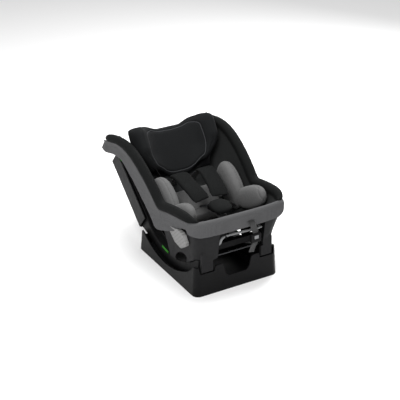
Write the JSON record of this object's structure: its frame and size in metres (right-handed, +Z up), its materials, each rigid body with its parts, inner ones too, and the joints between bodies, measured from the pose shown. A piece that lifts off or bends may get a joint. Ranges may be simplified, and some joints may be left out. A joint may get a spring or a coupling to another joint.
{
  "type": "convertible child car seat",
  "caption": "Reclining bucket child seat on a rocker base, with winged sliding headrest, five-point harness, newborn cushions and fabric cover.",
  "frame": {"origin": "on the underside of the base, at the middle of the footprint that the recline axis is set out from", "axes": "+Z up from the vehicle seat, -Y the way the child faces, +X across the seat to the right of someone facing it"},
  "size_m": [0.465, 0.7453, 0.5012],
  "materials": {
    "base_black": "gloss black moulded base",
    "shell_grey": "fine-grained dark grey moulding",
    "structure_black": "black structural moulding",
    "cover_grey": "mid grey knitted fabric",
    "cover_black": "black knitted fabric",
    "insert_grey": "warm grey soft jersey",
    "headrest_black": "black fabric with light piping",
    "webbing_black": "woven webbing",
    "pad_light": "light grey perforated pad",
    "route_green": "green belt-route plastic",
    "handle_silver": "light grey moulding",
    "steel": "zinc-plated steel",
    "buckle_red": "red moulded button",
    "foot_rubber": "black rubber"
  },
  "bodies": {
    "base": {"base_tray": "base_black", "base_track_right": "structure_black", "base_track_left": "structure_black", "base_foot_front": "foot_rubber", "base_foot_rear": "foot_rubber"},
    "seat": {"rocker_frame_right": "structure_black", "rocker_frame_left": "structure_black", "frame_crossbar": "steel", "bucket_shell": "structure_black", "front_band": "cover_grey", "side_band_right": "cover_grey", "side_band_left": "cover_grey", "rim_bolster_right": "cover_black", "rim_bolster_left": "cover_black", "back_cover": "cover_black", "seat_cover": "cover_black", "insert_back": "insert_grey", "insert_seat": "insert_grey", "insert_head_side_right": "insert_grey", "insert_head_side_left": "insert_grey", "insert_hip_side_right": "insert_grey", "insert_hip_side_left": "insert_grey", "shoulder_strap_right": "webbing_black", "shoulder_strap_left": "webbing_black", "shoulder_pad_right": "cover_black", "shoulder_pad_left": "cover_black", "lap_strap_right": "webbing_black", "lap_strap_left": "webbing_black", "crotch_strap": "webbing_black", "crotch_pad": "cover_black", "buckle_case": "structure_black", "buckle_tongue_right": "steel", "buckle_tongue_left": "steel", "rod_socket_right": "structure_black", "rod_socket_left": "structure_black", "back_frame_cover": "shell_grey", "splitter_plate": "steel", "side_shell_right": "shell_grey", "side_shell_left": "shell_grey", "front_apron": "structure_black", "seat_crossmember": "structure_black", "recline_latch_bar": "steel", "adjuster_case": "structure_black", "adjuster_strap": "webbing_black", "side_impact_pad_right": "pad_light", "side_impact_pad_left": "pad_light", "belt_guide_right": "route_green", "belt_guide_left": "route_green"},
    "headrest": {"headrest_shell": "structure_black", "headrest_wing_right": "headrest_black", "headrest_wing_left": "headrest_black", "headrest_pad": "headrest_black", "headrest_rod_right": "steel", "headrest_rod_left": "steel", "headrest_bridge": "structure_black"},
    "buckle_button": {"buckle_button": "buckle_red"},
    "adjuster_button": {"adjuster_button": "handle_silver"},
    "recline_handle": {"recline_handle": "handle_silver"},
    "headrest_lever": {"headrest_lever": "shell_grey"}
  },
  "joints": [
    {"name": "recline", "type": "hinge", "parent": "base", "child": "seat", "pos_m": [0, 0.005, 0.365], "axis": [1, 0, 0], "range_deg": [0, 18]},
    {"name": "headrest_height", "type": "slide", "parent": "seat", "child": "headrest", "axis": [0, 0.766, 0.6428], "range_m": [0, 0.12]},
    {"name": "headrest_lever_lift", "type": "slide", "parent": "headrest", "child": "headrest_lever", "axis": [0, 0.766, 0.6428], "range_m": [0, 0.006], "stiffness_N_per_m": 800},
    {"name": "recline_pull", "type": "slide", "parent": "seat", "child": "recline_handle", "axis": [0, -1, 0], "range_m": [0, 0.01], "stiffness_N_per_m": 900},
    {"name": "buckle_press", "type": "slide", "parent": "seat", "child": "buckle_button", "axis": [0, -0.0998, -0.995], "range_m": [0, 0.005], "stiffness_N_per_m": 900},
    {"name": "adjuster_press", "type": "slide", "parent": "seat", "child": "adjuster_button", "axis": [0, 1, 0], "range_m": [0, 0.002], "stiffness_N_per_m": 900}
  ]
}
